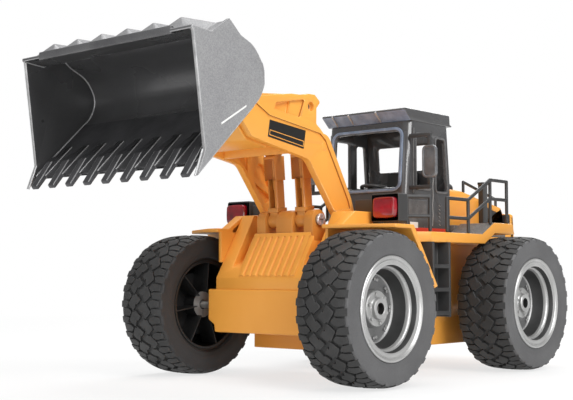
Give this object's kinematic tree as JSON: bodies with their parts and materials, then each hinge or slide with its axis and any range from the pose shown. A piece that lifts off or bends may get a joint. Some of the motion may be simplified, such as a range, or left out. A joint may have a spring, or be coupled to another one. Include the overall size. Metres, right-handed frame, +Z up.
{
  "type": "toy front loader",
  "caption": "Toy front loader with an articulated frame, lift arms, tilting toothed bucket, cab, ladders, handrails and rolling wheels.",
  "frame": {"origin": "on the ground under the middle of the part's bounding box", "axes": "+X towards the bucket, +Y to the machine's left, +Z up"},
  "size_m": [0.2896, 0.1404, 0.1512],
  "materials": {
    "yellow_body": "satin",
    "yellow_metal": "satin",
    "black_trim": "matte",
    "tyre": "matte",
    "rim_silver": "satin metallic",
    "bucket_silver": "sandy",
    "steel": "brushed",
    "red_lens": "gloss",
    "bush_plastic": "matte",
    "motor_can": "brushed",
    "cell_sleeve": "gloss",
    "board_green": "gloss",
    "mirror_black": "gloss"
  },
  "bodies": {
    "rear_frame": {"rear_chassis": "yellow_body", "battery_cover": "yellow_body", "battery_pack": "cell_sleeve", "circuit_board": "board_green", "drive_motor": "motor_can", "rear_bushes": "bush_plastic", "deck_plate": "yellow_body", "hood_plinth": "black_trim", "engine_hood": "yellow_body", "side_grilles": "black_trim", "counterweight": "yellow_body", "exhaust_stack": "black_trim", "hood_vent": "black_trim", "cab_shell": "black_trim", "cab_roof": "black_trim", "driver_seat": "black_trim", "steering_wheel": "black_trim", "mirrors": "mirror_black", "handrails_left": "black_trim", "handrails_right": "black_trim", "ladder_left": "black_trim", "ladder_right": "black_trim"},
    "front_frame": {"front_chassis": "yellow_body", "bumper_shell": "yellow_body", "front_hood": "yellow_body", "front_fender_left": "yellow_body", "front_fender_right": "yellow_body", "lamp_bar": "black_trim", "lamp_lenses": "red_lens", "cylinder_bracket": "yellow_body", "cylinder_pin": "steel", "arm_shaft": "steel", "lift_motor": "motor_can", "front_bushes": "bush_plastic", "kingpin": "steel"},
    "front_axle": {"front_axle_shaft": "steel", "front_tyre_left": "tyre", "front_tyre_right": "tyre", "front_rim_left": "rim_silver", "front_rim_right": "rim_silver"},
    "rear_axle": {"rear_axle_shaft": "steel", "axle_gear": "bush_plastic", "rear_tyre_left": "tyre", "rear_tyre_right": "tyre", "rear_rim_left": "rim_silver", "rear_rim_right": "rim_silver"},
    "drive_pinion": {"drive_pinion": "bush_plastic"},
    "lift_arms": {"lift_arm_left": "yellow_metal", "lift_arm_right": "yellow_metal", "arm_bridge": "yellow_metal", "arm_pins": "steel"},
    "bucket": {"bucket": "bucket_silver", "bucket_pins": "steel"},
    "tilt_rocker": {"tilt_rocker": "yellow_metal"},
    "tilt_link": {"tilt_link": "yellow_metal"},
    "lift_barrels": {"lift_barrel_left": "yellow_metal", "lift_barrel_right": "yellow_metal"},
    "lift_rods": {"lift_rod_left": "yellow_metal", "lift_rod_right": "yellow_metal"},
    "power_switch": {"power_switch": "black_trim"}
  },
  "joints": [
    {"name": "steering", "type": "hinge", "parent": "rear_frame", "child": "front_frame", "pos_m": [-0.01372, 0, 0.044], "axis": [0, 0, 1], "range_deg": [-15, 15]},
    {"name": "front_axle_spin", "type": "hinge", "parent": "front_frame", "child": "front_axle", "pos_m": [0.03762, 0, 0.035], "axis": [0, 1, 0], "continuous": true},
    {"name": "rear_axle_spin", "type": "hinge", "parent": "rear_frame", "child": "rear_axle", "pos_m": [-0.09108, 0, 0.035], "axis": [0, 1, 0], "continuous": true},
    {"name": "pinion_spin", "type": "hinge", "parent": "rear_frame", "child": "drive_pinion", "pos_m": [-0.07733, 0, 0.035], "axis": [0, 1, 0], "continuous": true},
    {"name": "arm_lift", "type": "hinge", "parent": "front_frame", "child": "lift_arms", "pos_m": [0.00928, 0, 0.071], "axis": [0, -1, 0], "range_deg": [-75, 3]},
    {"name": "bucket_tilt", "type": "hinge", "parent": "lift_arms", "child": "bucket", "pos_m": [0.09458, 0, 0.1341], "axis": [0, -1, 0], "range_deg": [-8, 120]},
    {"name": "rocker_turn", "type": "hinge", "parent": "lift_arms", "child": "tilt_rocker", "pos_m": [0.03868, 0, 0.1282], "axis": [0, -1, 0], "range_deg": [-8, 120]},
    {"name": "link_turn", "type": "hinge", "parent": "tilt_rocker", "child": "tilt_link", "pos_m": [0.03136, 0, 0.12138], "axis": [0, -1, 0], "range_deg": [-120, 8]},
    {"name": "barrel_turn", "type": "hinge", "parent": "front_frame", "child": "lift_barrels", "pos_m": [0.02477, 0, 0.0761], "axis": [0, -1, 0], "range_deg": [-108, 5]},
    {"name": "rod_turn", "type": "hinge", "parent": "lift_arms", "child": "lift_rods", "pos_m": [0.02778, 0, 0.1105], "axis": [0, -1, 0], "range_deg": [-33, 2]},
    {"name": "switch_slide", "type": "slide", "parent": "rear_frame", "child": "power_switch", "axis": [1, 0, 0], "range_m": [0, 0.004]}
  ],
  "couplings": [
    {"joint": "pinion_spin", "follows": "rear_axle_spin", "ratio": -2.4},
    {"joint": "rocker_turn", "follows": "bucket_tilt", "ratio": 1},
    {"joint": "link_turn", "follows": "bucket_tilt", "ratio": -1},
    {"joint": "barrel_turn", "follows": "arm_lift", "ratio": 1.43},
    {"joint": "rod_turn", "follows": "arm_lift", "ratio": 0.43}
  ]
}
